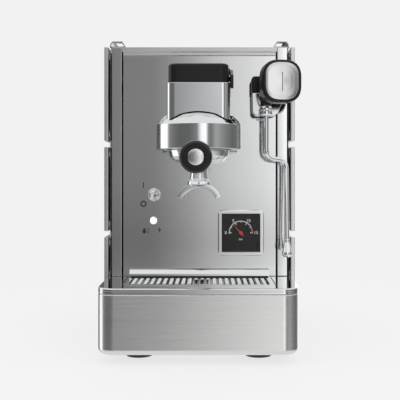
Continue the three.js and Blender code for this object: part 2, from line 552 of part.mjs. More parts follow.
function steamPieces() {
  const { width, height, faceW, faceH, depth, seat } = KNOB;
  const shell = fronted(squircle(width, height), 1.2, depth - 6);
  const backStep = fronted(squircle(width - 5, height - 5), depth - 6 - JOIN, depth);
  const faceSeat = fronted(squircle(faceW + 0.8, faceH + 0.8), -CLEAR, seat);
  const stemEnd = depth - 12;
  const stemHole = rod(VALVE.stemR + GAP, 0, 0, stemEnd, depth + CLEAR, 16);
  const knob = ontoKnob(cut(join(shell, backStep), faceSeat, stemHole));
  const face = ontoKnob(fronted(squircle(faceW, faceH), 0, seat - GAP));

  const stem = ontoKnob(rod(VALVE.stemR, 0, 0, stemEnd + GAP, depth + 34, 16));
  const bonnet = ontoKnob(rod(8.5, 0, 0, depth + 8, depth + 36, 20));
  const corners = [[68, 305], [70, 301], [74, 299], [94, 299], [98, 301], [102, 307], [110, 327], [110, 347],
    [108, 349], [69, 349], [67, 347], [67, 328]];
  const { front, back, throatR, clampR } = VALVE;
  const valveBlock = fronted(sideOutline(corners, 1, new THREE.Shape()), front, back);
  const throat = rod(throatR, VALVE.x, VALVE.z, front + 6, PANEL.face + 16, 20);
  const clamp = rod(clampR, VALVE.x, VALVE.z, back, PANEL.face - GAP, 24);
  const outlet = bar(6.2, BALL.x, BALL.y, BALL.z + 6.2, 329, 20);
  const elbow = box(BALL.x - 5.5, BALL.x + 5.5, BALL.y, front + 6, 315, 328);
  const valve = join(valveBlock, throat, clamp, bonnet, stem, outlet, elbow);

  const { x, y, z, r, nutR } = BALL;
  const nut = turned([[r + 0.3, z - 5.4], [nutR - 1.2, z - 5.4], [nutR, z - 3.6], [nutR, z + 4.2],
    [nutR - 1, z + 5.9], [r + 0.4, z + 5.9], [r + 0.4, z - 1.5], [r - 0.3, z - 3.8], [r + 0.3, z - 5.4]], x, y, 24);

  const route = [at(x, y, z), at(x, y + 1, 243.5), at(110.5, y + 9, 242.5), at(110, 66, 141.6)];
  const ball = new THREE.SphereGeometry(r, 14, 8).translate(x, y, z);
  const wand = join(pipe(route, WAND.r, 13, 34, 10), ball);
  const along = route[3].clone().sub(route[2]).normalize();
  const tipProfile = [[0, 0.3], [3.6, 0.3], [3.8, 3], [6, 14], [6.1, 18.5], [4.4, 21.4], [0, WAND.tipLength]];
  const tip = new THREE.LatheGeometry(tipProfile.map(([r, h]) => new THREE.Vector2(r, h)), 20);
  tip.applyQuaternion(new THREE.Quaternion().setFromUnitVectors(new THREE.Vector3(0, 1, 0), along));
  tip.translate(route[3].x, route[3].y, route[3].z);
  return [
    piece('steam_valve', valve, 'chrome'),
    piece('steam_knob', knob, 'blackPlastic'),
    piece('steam_knob_face', face, 'brushedSteel'),
    piece('wand_nut', nut, 'chrome'),
    piece('steam_wand', wand, 'chrome'),
    piece('wand_tip', tip, 'chrome'),
  ];
}

// ---- water, heat and power inside ----
function insidePieces() {
  const { half, front, back, bottom, top, wall } = TANK;
  const tank = cut(
    raised(roundedRect(-half, half, front, back, 8), bottom, top),
    raised(roundedRect(-half + wall, half - wall, front + wall, back - wall, 6), bottom + wall, top + 1),
  );
  const hatch = TANK_HATCH;
  const lid = cut(
    box(-hatch.half + 0.5, hatch.half - 0.5, hatch.front + 0.5, hatch.back - 0.5, TOP.under, TOP.z),
    box(-22, 22, hatch.front + 8, hatch.front + 24, TOP.z - 3, TOP.z + CLEAR),
  );

  const b = BOILER;
  const can = turned([[0, b.bottom], [b.r - 4, b.bottom], [b.r, b.bottom + 4], [b.r, b.top], [b.r - b.wall, b.top],
    [b.r - b.wall, b.bottom + 5], [b.r - 5, b.bottom + b.wall], [0, b.bottom + b.wall]], b.x, b.y, 32);
  const flange = bar(b.r + 5, b.x, b.y, b.top + GAP, b.top + 9, 32);
  const limbs = [-14, 14].map((dx) => bar(4, b.x + dx, b.y, b.bottom + 12, b.top + 20, 12));
  const bridge = box(b.x - 16, b.x + 16, b.y - 3.5, b.y + 3.5, b.bottom + 10, b.bottom + 18);
  const reliefBase = bar(6, b.x, b.y + 26, b.top + 9 + GAP, b.top + 22, 6);
  const relief = join(reliefBase, bar(4, b.x, b.y + 26, b.top + 21, b.top + 40, 12));

  const pump = join(
    rod(PUMP.r, PUMP.x, PUMP.z, PUMP.front, PUMP.back, 20),
    rod(12, PUMP.x, PUMP.z, PUMP.front - 12, PUMP.back + 24, 16),
    rod(5, PUMP.x, PUMP.z, PUMP.back + 20, PUMP.back + 36, 12),
  );
  const solenoid = join(box(-76, -50, 150, 176, 104, 140), rod(5, -63, 128, 138, 152, 12));
  const controls = box(-110, -66, 186, 258, 96, 150);
  const inletBlock = (across, y0, y1, rise) => (
    box(INLET.x - across, INLET.x + across, y0, y1, INLET.z - rise, INLET.z + rise)
  );
  const inletBack = BODY_BACK + BACK_EXTRA;
  const { bodyHalf, bodyDepth, width, height, socketHalf, socketRise } = INLET;
  const inlet = join(
    inletBlock(bodyHalf, BODY_BACK - bodyDepth, BODY_BACK - 0.6, bodyHalf - 2),
    cut(inletBlock(width / 2, BODY_BACK - 0.3, inletBack, height / 2),
      inletBlock(socketHalf, BODY_BACK + 1.5, inletBack + CLEAR, socketRise)),
    inletBlock(bodyHalf - 1, BODY_BACK - 2, BODY_BACK + 0.5, bodyHalf - 3),
  );
  const inFront = PUMP.front - 30;
  const port = at(b.x + 8, b.y - 20, b.bottom - GAP);
  const feed = pipe([at(PUMP.x, PUMP.front - 12 - GAP, PUMP.z), at(PUMP.x, inFront, PUMP.z),
    at(port.x, inFront, PUMP.z), at(port.x, inFront, port.z - 16), at(port.x, port.y, port.z - 16), port],
  2.6, 7, 26, 6);
  const steamLine = pipe([at(b.x + 30, b.y - 14, b.top + 9 + GAP), at(b.x + 30, b.y - 14, 338), at(VALVE.x, 160, 340),
    at(VALVE.x, 150, VALVE.z), at(VALVE.x, 132.4, VALVE.z)], 2.6, 7, 26, 6);
  const hoseRoute = [at(PUMP.x, PUMP.back + 36 + GAP, PUMP.z), at(PUMP.x, HOSE.y, PUMP.z),
    at(PUMP.x, HOSE.y, bottom - GAP)];
  const hose = pipe(hoseRoute, HOSE.r, 12, 12);
  return [
    piece('water_tank', tank, 'clearPlastic'),
    piece('tank_lid', lid, 'brushedSteel'),
    piece('boiler', can, 'brass'),
    piece('heating_element', join(flange, bridge, ...limbs), 'brass'),
    piece('safety_valve', relief, 'brass'),
    piece('pump', pump, 'greyPlastic'),
    piece('solenoid_valve', solenoid, 'brass'),
    piece('control_box', controls, 'blackPlastic'),
    piece('mains_inlet', inlet, 'blackPlastic'),
    piece('feed_pipe', feed, 'copper'),
    piece('steam_pipe', steamLine, 'copper'),
    piece('suction_hose', hose, 'clearPlastic'),
  ];
}

// ---- the whole machine ----
const machine = new THREE.Group();
machine.add(
  ...basePieces(),
  chassisPiece(),
  ...trayPieces(),
  panelPiece(),
  pillarPiece('left_pillar', -1),
  pillarPiece('right_pillar', 1),
  wallPiece('left', -1),
  wallPiece('right', 1),
  ...platePieces('left', -1),
  ...platePieces('right', 1),
  railPiece('left', -1),
  railPiece('right', 1),
  ...topPieces(),
  ...groupPieces(),
  ...portafilterPieces(),
  ...controlPieces(),
  ...steamPieces(),
  ...insidePieces(),
);
machine.position.y = -(HANDLE.tipY + BODY_BACK + BACK_EXTRA) / 2;

const part = new THREE.Group();
part.add(machine);

export default part;
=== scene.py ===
import json
import math

import bmesh
import bpy
from mathutils import Matrix, Vector

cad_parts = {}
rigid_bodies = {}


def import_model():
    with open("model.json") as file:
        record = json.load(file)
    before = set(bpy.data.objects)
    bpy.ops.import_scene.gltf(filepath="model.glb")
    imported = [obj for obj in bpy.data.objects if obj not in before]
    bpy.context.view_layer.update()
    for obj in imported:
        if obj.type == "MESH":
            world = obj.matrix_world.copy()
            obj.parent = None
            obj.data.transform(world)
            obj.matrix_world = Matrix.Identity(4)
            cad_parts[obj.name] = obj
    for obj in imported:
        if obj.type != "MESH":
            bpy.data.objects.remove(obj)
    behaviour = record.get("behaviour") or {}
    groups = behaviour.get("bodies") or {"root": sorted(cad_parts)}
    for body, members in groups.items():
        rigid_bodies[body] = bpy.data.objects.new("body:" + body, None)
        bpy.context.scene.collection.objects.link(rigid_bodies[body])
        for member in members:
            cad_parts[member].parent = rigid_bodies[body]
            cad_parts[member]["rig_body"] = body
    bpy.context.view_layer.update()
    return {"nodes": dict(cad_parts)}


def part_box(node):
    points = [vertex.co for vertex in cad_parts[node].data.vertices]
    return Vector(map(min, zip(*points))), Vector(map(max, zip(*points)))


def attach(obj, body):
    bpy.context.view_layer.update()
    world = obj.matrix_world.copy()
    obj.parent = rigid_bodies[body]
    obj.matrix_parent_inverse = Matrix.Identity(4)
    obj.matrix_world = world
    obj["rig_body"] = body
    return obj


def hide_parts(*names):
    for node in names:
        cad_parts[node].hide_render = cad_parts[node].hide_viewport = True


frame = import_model()
scene = bpy.context.scene

# Pieces are modelled in millimetres from the base's front edge: X right, Y back, Z up from the worktop.
TO_FRAME = Matrix.Translation((0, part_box("base_housing")[0].y, 0)) @ Matrix.Scale(0.001, 4)


# ---- camera ----
eye = bpy.data.cameras.new("eye")
eye.lens = 69
eye.sensor_width = 36
eye.shift_x = -0.025
eye.shift_y = -0.05
camera = bpy.data.objects.new("camera", eye)
camera.location = TO_FRAME @ Vector((13.8, -893, 216.6))
camera.rotation_euler = (math.radians(90), 0, 0)
scene.collection.objects.link(camera)
scene.camera = camera
scene.view_settings.view_transform = "Standard"


# ---- finishes ----
class Value:
    """A number that changes over a surface. Sums and products of it add Math nodes to its tree."""

    def __init__(self, tree, socket):
        self.tree = tree
        self.socket = socket

    def math(self, operation, first, second=0.0):
        return self.tree.node("ShaderNodeMath", {"operation": operation}, {0: first, 1: second})

    def __add__(self, other):
        return self.math("ADD", self, other)

    def __sub__(self, other):
        return self.math("SUBTRACT", self, other)

    def __rsub__(self, other):
        return self.math("SUBTRACT", other, self)

    def __mul__(self, other):
        return self.math("MULTIPLY", self, other)

    def __truediv__(self, other):
        return self.math("DIVIDE", self, other)

    def __gt__(self, other):
        return self.math("GREATER_THAN", self, other)

    __radd__ = __add__
    __rmul__ = __mul__


class Tree:
    """A node tree, and the one way that nodes are added to it."""

    def __init__(self, tree):
        self.tree = tree

    def node(self, kind, settings=None, sockets=None, out=None):
        made = self.tree.nodes.new(kind)
        for setting, value in (settings or {}).items():
            if setting == "stops":
                ramp = made.color_ramp.elements
                ramp.remove(ramp[1])
                ramp[0].position, ramp[0].color = value[0][0], grey(value[0][1])
                for place, colour in value[1:]:
                    ramp.new(place).color = grey(colour)
            else:
                setattr(made, setting, value)
        for key, value in (sockets or {}).items():
            self.feed(made.inputs[key], value)
        shown = [socket for socket in made.outputs if socket.enabled]
        return Value(self, made.outputs[out] if out else shown[0])

    def feed(self, socket, value):
        if isinstance(value, Value):
            self.tree.links.new(value.socket, socket)
        else:
            socket.default_value = value

    def mix(self, factor, first, second):
        return self.node("ShaderNodeMix", {"data_type": "RGBA"}, {0: factor, 6: first, 7: second})

    def ramp(self, value, stops):
        return self.node("ShaderNodeValToRGB", {"stops": stops}, {"Fac": value})

    def grid(self, scale):
        """The place on a piece, stretched by scale in each direction, from object coordinates."""
        where = self.node("ShaderNodeTexCoord", out="Object")
        return self.node("ShaderNodeMapping", None, {"Vector": where, "Scale": scale})

    def noise(self, scale, detail=2.0, roughness=0.5):
        return self.node("ShaderNodeTexNoise", None,
                         {"Vector": self.grid(scale), "Scale": 1.0, "Detail": detail, "Roughness": roughness},
                         out="Fac")


def grey(value):
    """A colour from one number, three numbers or a whole colour."""
    if isinstance(value, (int, float)):
        value = (value, value, value)
    return (*value, 1.0) if len(value) == 3 else tuple(value)


class Finish(Tree):
    """A surface finish that belongs to one of the record's material slots."""

    def __init__(self, name, slot, base, **fixed):
        self.material = bpy.data.materials.new(name)
        self.material.use_nodes = True
        super().__init__(self.material.node_tree)
        self.shader = self.material.node_tree.nodes["Principled BSDF"]
        self.slot = slot
        self.shader.inputs["Base Color"].default_value = grey(base)
        for socket, value in fixed.items():
            self.shader.inputs[socket.replace("_", " ")].default_value = value
        self.lit = Value(self, self.shader.outputs[0])

    def surface(self, **sockets):
        for socket, value in sockets.items():
            self.feed(self.shader.inputs[socket.replace("_", " ")], value)
        return self

    def bumped(self, height, distance):
        bump = self.node("ShaderNodeBump", None, {"Height": height, "Distance": distance, "Strength": 1.0})
        return self.surface(Normal=bump)

    def blended(self, share, first, second):
        """Ends the finish in a mix of two shaders."""
        mixed = self.node("ShaderNodeMixShader", None, {0: share, 1: first, 2: second})
        self.feed(self.material.node_tree.nodes["Material Output"].inputs["Surface"], mixed)


def polished(name, slot, base, rough, waves=0.00006):
    """Mirror-polished sheet: faint smudges, hairline wipe marks and the slow waves of thin steel."""
    finish = Finish(name, slot, base, Metallic=1.0)
    smudge = finish.noise((14, 14, 14), 4, 0.6)
    hairlines = finish.noise((900, 60, 40), 2)
    finish.surface(Roughness=rough + smudge * 0.05 + hairlines * 0.02 - 0.03,
                   Base_Color=finish.mix(smudge, grey([c * 0.96 for c in grey(base)[:3]]), grey(base)))
    return finish.bumped(finish.noise((7, 7, 7), 1), waves)


def brushed(name, slot, base, rough, grain, depth=0.00003):
    """Steel with a fine straight grain: grain is how often it changes in each direction, per metre."""
    finish = Finish(name, slot, base, Metallic=1.0)
    lines = finish.noise(grain, 3, 0.7)
    broad = finish.noise(tuple(g * 0.2 for g in grain), 2, 0.5)
    wear = finish.noise((9, 9, 9), 3)
    dark = grey([c * 0.9 for c in grey(base)[:3]])
    light = grey([min(1, c * 1.08) for c in grey(base)[:3]])
    finish.surface(Roughness=rough + (lines - 0.5) * 0.16 + (wear - 0.5) * 0.08,
                   Base_Color=finish.mix(lines * 0.6 + broad * 0.4, dark, light))
    return finish.bumped(lines, depth)


def moulded(name, slot, base, rough, grain=2600, depth=0.00002, **fixed):
    """Moulded plastic or rubber: a fine cast grain, with slightly shinier patches where it is handled."""
    finish = Finish(name, slot, base, **fixed)
    fine = finish.noise((grain, grain, grain), 2)
    handled = finish.noise((22, 22, 22), 3)
    lighter = grey([c * 1.25 + 0.002 for c in grey(base)[:3]])
    finish.surface(Roughness=rough + (fine - 0.5) * 0.16 + (handled - 0.5) * 0.14,
                   Base_Color=finish.mix(handled, grey(base), lighter))
    return finish.bumped(fine, depth)


def tarnished(name, slot, bright, dull, rough):
    """Bare brass or copper with darker heat and handling stains."""
    finish = Finish(name, slot, bright, Metallic=1.0)
    stains = finish.noise((35, 35, 35), 5, 0.6)
    turning = finish.noise((90, 90, 1800), 2)
    finish.surface(Base_Color=finish.mix(stains, grey(bright), grey(dull)),
                   Roughness=rough + stains * 0.2 + turning * 0.08)
    return finish.bumped(turning, 0.00002)


mirror = polished("mirror_steel", "polished_steel", (0.78, 0.785, 0.79), 0.045)
deck_steel = polished("deck_steel", "polished_steel", (0.74, 0.745, 0.75), 0.09, 0.00004)
base_steel = brushed("base_steel", "brushed_steel", (0.78, 0.775, 0.77), 0.24, (22, 22, 3200), depth=0.000005)
rail_steel = polished("rail_steel", "polished_steel", (0.4, 0.4, 0.41), 0.1)
plate_steel = brushed("plate_steel", "brushed_steel", (0.68, 0.68, 0.68), 0.3, (900, 900, 14))
top_steel = brushed("top_steel", "brushed_steel", (0.66, 0.66, 0.66), 0.3, (14, 900, 900))
dial_steel = brushed("knob_steel", "brushed_steel", (0.66, 0.66, 0.66), 0.19, (1800, 1800, 40),
                     depth=0.000003)
spun_steel = brushed("spun_steel", "brushed_steel", (0.7, 0.7, 0.7), 0.22, (500, 40, 500))
basket_steel = brushed("basket_steel", "brushed_steel", (0.66, 0.66, 0.66), 0.25, (60, 60, 1200))
sheet = brushed("mill_steel", "sheet_steel", (0.58, 0.59, 0.6), 0.38, (140, 140, 140), depth=0.00001)
chrome = polished("chrome_plate", "chrome", (0.84, 0.85, 0.86), 0.04, 0.00002)
satin_chrome = polished("satin_chrome", "chrome", (0.76, 0.77, 0.78), 0.12, 0.00003)
black = moulded("black_plastic", "black_plastic", (0.016, 0.016, 0.017), 0.36, Specular_IOR_Level=0.3)
cap_black = moulded("cap_black", "black_plastic", (0.009, 0.009, 0.01), 0.26, 2600, 0.00001,
                    Specular_IOR_Level=0.22)
gloss_black = moulded("handle_black", "black_plastic", (0.01, 0.01, 0.011), 0.15, 900, 0.000006,
                      Specular_IOR_Level=0.25)
dial_black = moulded("dial_black", "dial_black", (0.01, 0.01, 0.011), 0.5, 3000, 0.000008,
                     Specular_IOR_Level=0.2)
rubber = moulded("foot_rubber", "rubber", (0.03, 0.03, 0.031), 0.75, 1500, 0.00004)
silicone = moulded("hose_silicone", "hose_silicone", (0.72, 0.73, 0.72), 0.4, 1200, 0.00001)
pump_grey = moulded("pump_plastic", "grey_plastic", (0.28, 0.29, 0.3), 0.45)
white_print = moulded("white_print", "dial_black", (0.85, 0.85, 0.83), 0.5, 4000, 0.000004)
red_print = moulded("red_print", "needle_red", (0.55, 0.05, 0.035), 0.45, 4000, 0.000004)
# Dark print for the panel's marks and the knob's pointer; also painted shade for the nozzle's holes.
dark_print_and_hole_shade = moulded("dark_print_and_hole_shade", "black_plastic", (0.02, 0.02, 0.02), 0.5, 4000, 0.000004)
brass = tarnished("turned_brass", "brass", (0.62, 0.46, 0.2), (0.34, 0.22, 0.09), 0.24)
# The side walls' steel is lighter than the other sheet steel (0.86 against 0.58), so that the walls' thin front edges
# read as a bright line from the front: a painted highlight.
wall_steel_painted_bright = brushed("wall_steel_painted_bright", "sheet_steel", (0.86, 0.86, 0.86), 0.42, (300, 300, 60), depth=0.000005)
copper = tarnished("copper_tube", "copper", (0.66, 0.34, 0.2), (0.3, 0.14, 0.08), 0.25)
tank_plastic = moulded("tank_plastic", "clear_plastic", (0.74, 0.79, 0.82), 0.14, 700, 0.00001, Alpha=0.45)

shower_steel = brushed("shower_steel", "brushed_steel", (0.62, 0.62, 0.62), 0.25, (900, 900, 40))
# The screen's holes are painted as near-black dots (0.02 against the steel's 0.62): painted shade, for the shade inside
# each hole.
painted_hole_shade = shower_steel.node("ShaderNodeTexVoronoi", {"feature": "DISTANCE_TO_EDGE"},
                         {"Vector": shower_steel.grid((420, 420, 1)), "Scale": 1.0, "Randomness": 0.0})
shower_steel.surface(Base_Color=shower_steel.mix(painted_hole_shade > 0.34, grey(0.62), grey(0.02)))

lens = Finish("lit_lens", "lamp_lens", (1.0, 0.9, 0.75), Roughness=0.3, Emission_Strength=1.25)
frost = lens.noise((700, 700, 700), 2)
lens.surface(Emission_Color=lens.mix(frost * 0.5, grey((1.0, 0.8, 0.52)), grey((1.0, 0.92, 0.76))))

glass = Finish("dial_glass", "gauge_glass", 1.0, Roughness=0.03, Metallic=1.0)
glass_wipe = glass.noise((60, 60, 60), 3)
glass.surface(Roughness=0.02 + glass_wipe * 0.03)
clear = glass.node("ShaderNodeBsdfTransparent")
sheen = glass.node("ShaderNodeFresnel", None, {"IOR": 1.42})
glass.blended(sheen * 0.35, clear, glass.lit)


# ---- modelling helpers ----
UP = Vector((0, 0, 1))
SIDES = (("left", -1), ("right", 1))
BEND_STEPS = 12  # lengths in each round bend of a tube

# Places that several pieces share.
BASE_HALF, BASE_BACK, BASE_CORNER = 119, 380, 20
TRAY_BACK = 115.1
FOOT_X, FOOT_Y = 73.5, {"front": 56, "rear": 324}
PANEL_FACE = 116
MARK_FACE = PANEL_FACE - 0.01
GROUP_Y = 58
WAND_X, WAND_Y = 84.5, 74


def finished(name, bm, body, finish, *nodes, sharp=38, turn=None):
    """Gives a modelled piece its object, finish and body. nodes are the CAD nodes that it stands for."""
    bmesh.ops.remove_doubles(bm, verts=bm.verts, dist=1e-4)
    bmesh.ops.recalc_face_normals(bm, faces=bm.faces)
    for face in bm.faces:
        face.smooth = True
    mesh = bpy.data.meshes.new(name)
    bm.to_mesh(mesh)
    bm.free()
    if turn:
        mesh.transform(turn)
    mesh.transform(TO_FRAME)
    return shown(name, mesh, body, finish, *nodes, sharp=sharp)


def shown(name, mesh, body, finish, *nodes, sharp=38):
    mesh.set_sharp_from_angle(angle=math.radians(sharp))
    mesh.materials.clear()
    mesh.materials.append(finish.material)
    thing = bpy.data.objects.new(name, mesh)
    scene.collection.objects.link(thing)
    thing.modifiers.new("true_faces", "WEIGHTED_NORMAL").keep_sharp = True
    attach(thing, body)
    if nodes:
        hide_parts(*nodes)
    return thing


def wire(bm, points):
    """A line of vertices joined by edges."""
    corners = [bm.verts.new(point) for point in points]
    return corners, [bm.edges.new(pair) for pair in zip(corners, corners[1:])]


def turned(bm, profile, steps=64, place=None, round_by=0.0, segments=3):
    """Turns a profile of (radius, height) about Z, its corners rounded, then moves it to its place."""
    corners, lines = wire(bm, [(r, 0, z) for r, z in profile])
    if round_by:
        bmesh.ops.bevel(bm, geom=corners[1:-1], offset=round_by, offset_type="OFFSET", segments=segments,
                        profile=0.5, affect="VERTICES", clamp_overlap=True, material=-1)
        lines = connected(bm, corners[0])
    spin_from = {v for e in lines for v in e.verts}
    bmesh.ops.spin(bm, geom=list(spin_from) + list(lines), cent=(0, 0, 0), axis=(0, 0, 1),
                   angle=2 * math.pi, steps=steps, use_merge=True)
    everything = island(bm, next(iter(spin_from)))
    bmesh.ops.remove_doubles(bm, verts=everything, dist=1e-4)
    everything = [v for v in everything if v.is_valid]
    if place:
        bmesh.ops.transform(bm, matrix=place, verts=everything)
    return everything


def island(bm, start):
    """All the vertices joined to one."""
    found, waiting = {start}, [start]
    while waiting:
        for edge in waiting.pop().link_edges:
            for vert in edge.verts:
                if vert not in found:
                    found.add(vert)
                    waiting.append(vert)
    return list(found)


def connected(bm, start):
    return list({edge for vert in island(bm, start) for edge in vert.link_edges})


def upright(x, y, z=0.0):
    return Matrix.Translation((x, y, z))


def forward(x, y, z, tilt=0.0):
    """Points a piece made along Z at the front, tilted down by some degrees, or up if negative."""
    return Matrix.Translation((x, y, z)) @ Matrix.Rotation(math.radians(90 + tilt), 4, "X")


def outline(bm, corners, segments=6, profile=0.5):
    """A flat face from corners (x, y, radius), each rounded by its radius."""
    verts = [bm.verts.new((x, y, 0)) for x, y, *_ in corners]
    face = bm.faces.new(verts)
    for vert, corner in zip(verts, corners):
        if len(corner) > 2 and corner[2]:
            bmesh.ops.bevel(bm, geom=[vert], offset=corner[2], offset_type="OFFSET", segments=segments,
                            profile=profile, affect="VERTICES", clamp_overlap=False, material=-1)
    return [f for f in bm.faces if not any(len(e.link_faces) > 1 for e in f.edges)][-1]


def rect(x0, x1, y0, y1, *radii):
    r = (list(radii) * 4)[:4] if len(radii) in (0, 1) else radii
    r = r or (0, 0, 0, 0)
    return [(x0, y0, r[0]), (x1, y0, r[1]), (x1, y1, r[2]), (x0, y1, r[3])]


def raised(bm, face, z0, z1):
    """Moves a flat outline to z0 and extrudes it to z1. Returns (bottom edges, top edges, top face)."""
    bmesh.ops.translate(bm, verts=face.verts[:], vec=(0, 0, z0))
    low = list(face.edges)
    made = bmesh.ops.extrude_face_region(bm, geom=[face])["geom"]
    verts = [g for g in made if isinstance(g, bmesh.types.BMVert)]
    top = [g for g in made if isinstance(g, bmesh.types.BMFace)][0]
    bmesh.ops.translate(bm, verts=verts, vec=(0, 0, z1 - z0))
    return low, list(top.edges), top


def grown(bm, face, share, rise):
    """Extrudes a face upwards and shrinks it towards its middle. Returns the new face."""
    made = bmesh.ops.extrude_face_region(bm, geom=[face])["geom"]
    verts = [g for g in made if isinstance(g, bmesh.types.BMVert)]
    face = [g for g in made if isinstance(g, bmesh.types.BMFace)][0]
    middle = Matrix.Translation(-face.calc_center_median())
    bmesh.ops.scale(bm, verts=verts, vec=(share, share, 1), space=middle)
    bmesh.ops.translate(bm, verts=verts, vec=(0, 0, rise))
    return face


def eased(bm, edges, width, segments=3):
    bmesh.ops.bevel(bm, geom=[e for e in edges if e.is_valid], offset=width, offset_type="OFFSET",
                    segments=segments, profile=0.5, affect="EDGES", clamp_overlap=True, material=-1)


def sharp_edges(bm, angle=38):
    return [e for e in bm.edges if len(e.link_faces) == 2 and e.calc_face_angle(0) > math.radians(angle)]


def block(bm, x0, x1, y0, y1, z0, z1, width=0.0, segments=2):
    """A box with its edges eased."""
    made = bmesh.ops.create_cube(bm, size=1.0)["verts"]
    bmesh.ops.scale(bm, verts=made, vec=(x1 - x0, y1 - y0, z1 - z0))
    bmesh.ops.translate(bm, verts=made, vec=((x0 + x1) / 2, (y0 + y1) / 2, (z0 + z1) / 2))
    if width:
        eased(bm, {e for v in made for e in v.link_edges}, width, segments)
    return made


def solid(bm):
    """A hidden working mesh in millimetres, for cutting or joining."""
    bmesh.ops.remove_doubles(bm, verts=bm.verts, dist=1e-4)
    bmesh.ops.recalc_face_normals(bm, faces=bm.faces)
    mesh = bpy.data.meshes.new("tool")
    bm.to_mesh(mesh)
    bm.free()
    thing = bpy.data.objects.new("tool", mesh)
    scene.collection.objects.link(thing)
    return thing


def worked(body, *steps):
    """Cuts and joins working meshes, (operation, mesh) in turn, and returns the result as a new bmesh."""
    for operation, tool in steps:
        step = body.modifiers.new("step", "BOOLEAN")
        step.operation = operation
        step.solver = "EXACT"
        step.object = tool
    bpy.context.view_layer.update()
    made = bpy.data.meshes.new_from_object(body.evaluated_get(bpy.context.evaluated_depsgraph_get()))
    for thing in [body, *(tool for _, tool in steps)]:
        bpy.data.objects.remove(thing)
    bm = bmesh.new()
    bm.from_mesh(made)
    bpy.data.meshes.remove(made)
    bmesh.ops.dissolve_limit(bm, angle_limit=math.radians(0.5), verts=bm.verts, edges=bm.edges)
    return bm


def edged(node, finish, width=0.5, segments=2, sharp=38):
    """A CAD node's own shape, with its edges eased so that they catch the light."""
    source = frame["nodes"][node]
    bm = bmesh.new()
    bm.from_mesh(source.data)
    bmesh.ops.remove_doubles(bm, verts=bm.verts, dist=1e-6)
    bmesh.ops.dissolve_limit(bm, angle_limit=math.radians(1), verts=bm.verts, edges=bm.edges)
    if width:
        eased(bm, sharp_edges(bm), width / 1000, segments)
    for face in bm.faces:
        face.smooth = True
    mesh = bpy.data.meshes.new(node + "_made")
    bm.to_mesh(mesh)
    bm.free()
    return shown(node + "_made", mesh, source["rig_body"], finish, node, sharp=sharp)


def tube(name, points, radius, bend, body, finish, *nodes, sides=8):
    """A bent tube through points in millimetres, with round bends."""
    path, start = [Vector(points[0])], Vector(points[0])
    for corner, after in zip(points[1:-1], points[2:]):
        corner, after = Vector(corner), Vector(after)
        into = corner + (start - corner).normalized() * bend
        out = corner + (after - corner).normalized() * bend
        for i in range(BEND_STEPS + 1):
            t = i / BEND_STEPS
            path.append(into * (1 - t) ** 2 + corner * 2 * t * (1 - t) + out * t * t)
        start = out
    path.append(Vector(points[-1]))
    line = bpy.data.curves.new(name, "CURVE")
    line.dimensions = "3D"
    line.bevel_depth = radius
    line.bevel_resolution = sides
    line.use_fill_caps = True
    spline = line.splines.new("POLY")
    spline.points.add(len(path) - 1)
    for point, place in zip(spline.points, path):
        point.co = (*place, 1)
    holder = bpy.data.objects.new("holder", line)
    scene.collection.objects.link(holder)
    bpy.context.view_layer.update()
    mesh = bpy.data.meshes.new_from_object(holder.evaluated_get(bpy.context.evaluated_depsgraph_get()))
    bpy.data.objects.remove(holder)
    bm = bmesh.new()
    bm.from_mesh(mesh)
    return finished(name, bm, body, finish, *nodes, sharp=50)


# ---- base, tray and shell ----
def sunk(bm, face, margin, depth):
    """Insets a face by a margin and pushes the inner part down."""
    bmesh.ops.inset_region(bm, faces=[face], thickness=margin, use_even_offset=True)
    made = bmesh.ops.extrude_face_region(bm, geom=[face])["geom"]
    bmesh.ops.translate(bm, verts=[g for g in made if isinstance(g, bmesh.types.BMVert)], vec=(0, 0, -depth))


def base_outline(inset, back, back_corner):
    """The base seen from above, with its two front corners rounded."""
    half, corner = BASE_HALF - inset, BASE_CORNER - inset
    return rect(-half, half, inset, back, corner, corner, back_corner, back_corner)


def base():
    bm = bmesh.new()
    foot, rim, top = raised(bm, outline(bm, base_outline(0, BASE_BACK, 10), 12), 11.3, 82.7)
    sunk(bm, top, 3, 66)
    eased(bm, foot, 7, 6)
    eased(bm, rim, 1.4, 3)
    finished("base_shell", bm, "shell", base_steel, "base_housing")
    for end, y in FOOT_Y.items():
        for word, side in SIDES:
            bm = bmesh.new()
            turned(bm, [(0, 0.6), (12, 0.6), (13, 0), (15.6, 0), (17, 1.6), (17, 5), (16.4, 5.6), (16.4, 6.4),
                        (17, 7), (17, 11), (0, 11)], 48, upright(side * FOOT_X, y), 0.3, 2)
            finished(f"{end}_{word}_pad", bm, "shell", rubber, f"{end}_{word}_foot")


def in_front(edges):
    """The edges that don't reach the tray's back."""
    return [e for e in edges if max(v.co.y for v in e.verts) < TRAY_BACK - 0.05]


